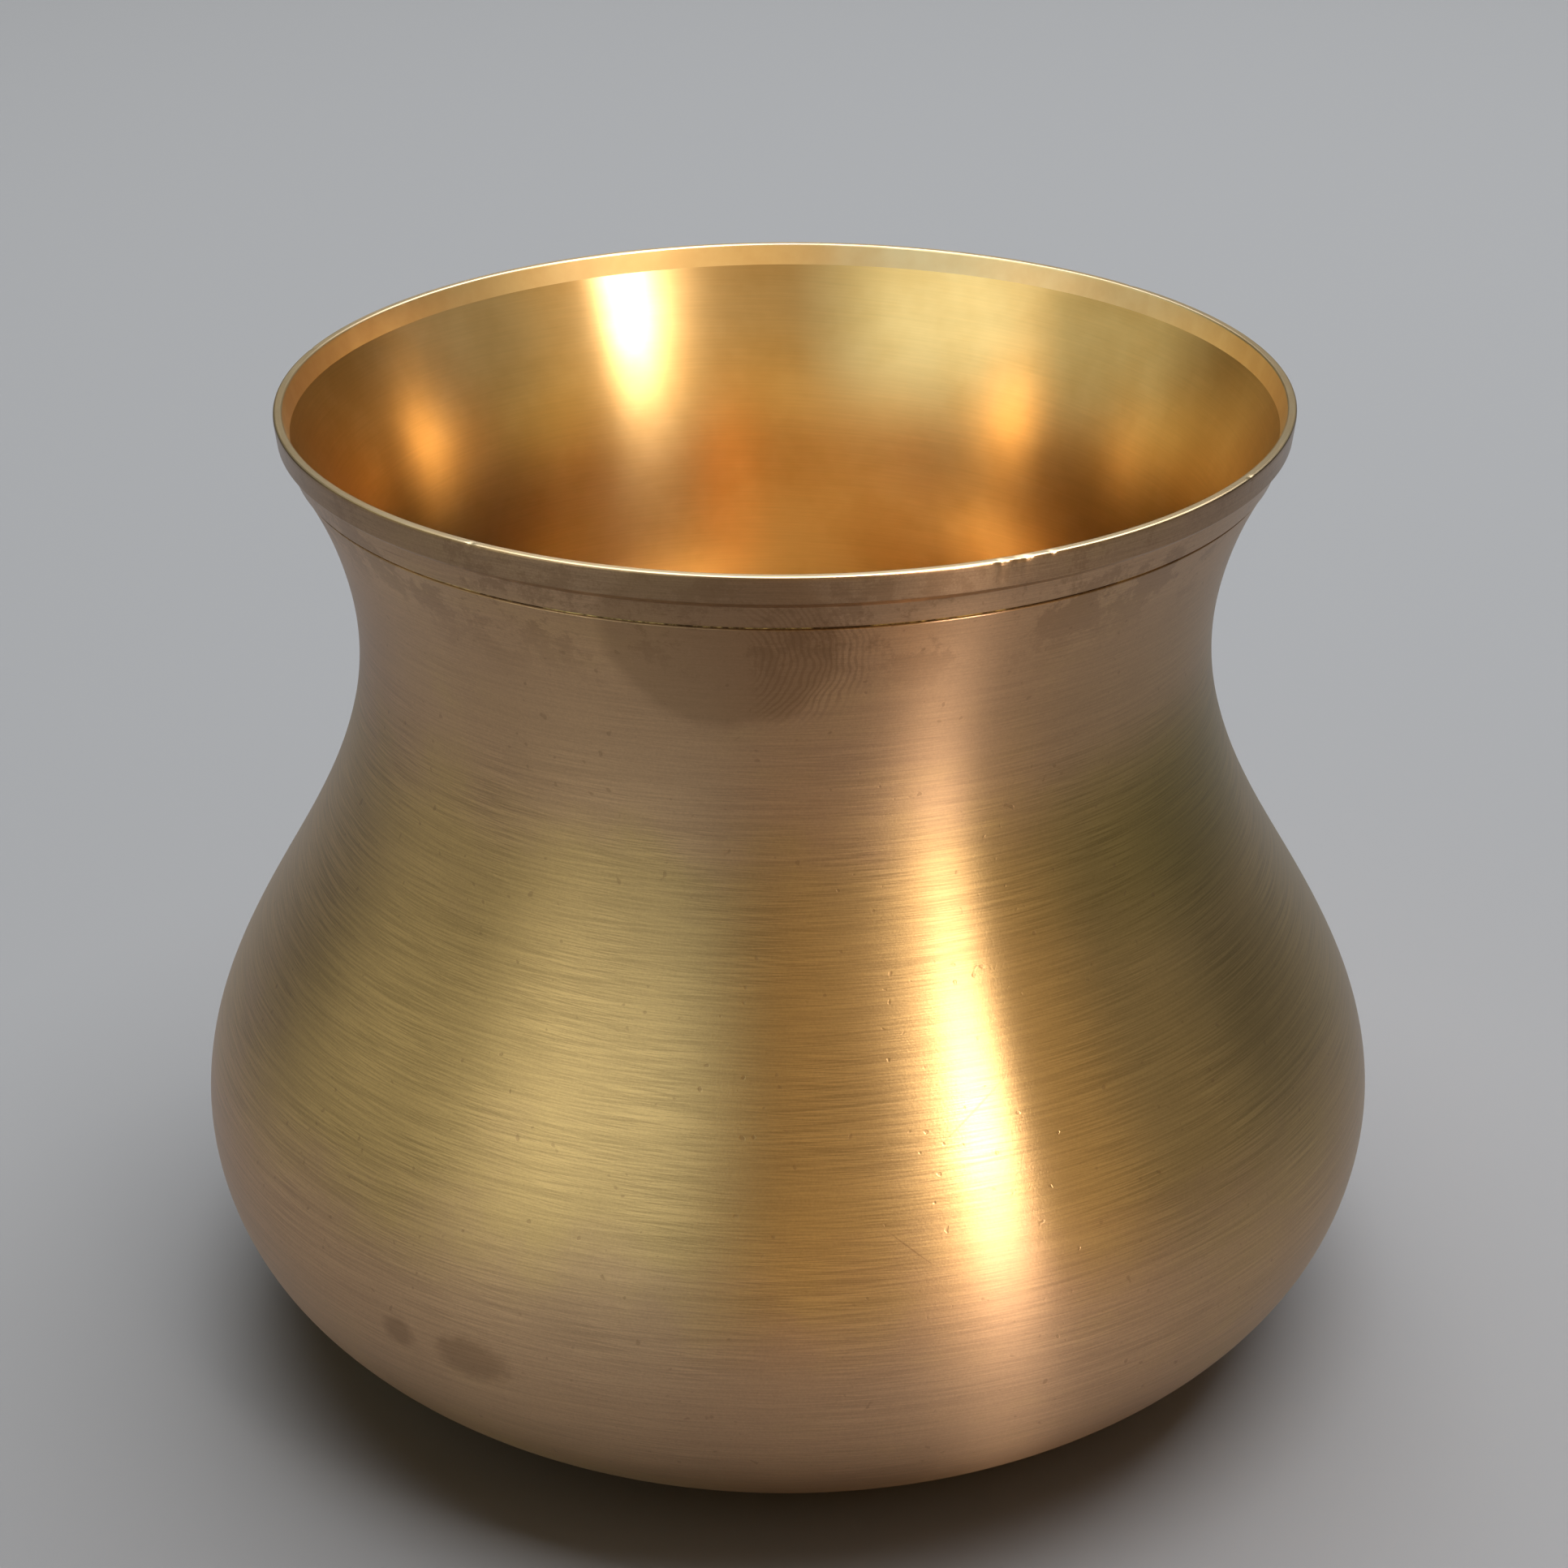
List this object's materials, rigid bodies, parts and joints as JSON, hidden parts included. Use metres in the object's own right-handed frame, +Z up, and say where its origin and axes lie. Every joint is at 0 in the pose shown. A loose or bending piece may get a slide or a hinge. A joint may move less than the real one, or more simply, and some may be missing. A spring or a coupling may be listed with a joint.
{
  "type": "lota water pot",
  "caption": "Squat brass lota with a low bulging belly, pinched neck and wide flared mouth with a turned ring, for holding and pouring water.",
  "frame": {"origin": "centre of the base, on the surface that the pot stands on", "axes": "+Z up along the pot's axis of symmetry, from the base towards the mouth; X and Y are interchangeable"},
  "size_m": [0.11, 0.11, 0.088],
  "materials": {
    "brushed_brass": "lathe-brushed satin with a brown patina",
    "lip_brass": "turned satin, rubbed bright on the lip",
    "filler_metal": "bright yellow brazing metal, dressed flush"
  },
  "bodies": {
    "root": {"lower_bowl": "brushed_brass", "upper_shell": "brushed_brass", "mouth_ring": "lip_brass", "belly_joint_braze": "filler_metal", "mouth_joint_braze": "filler_metal"}
  },
  "joints": []
}
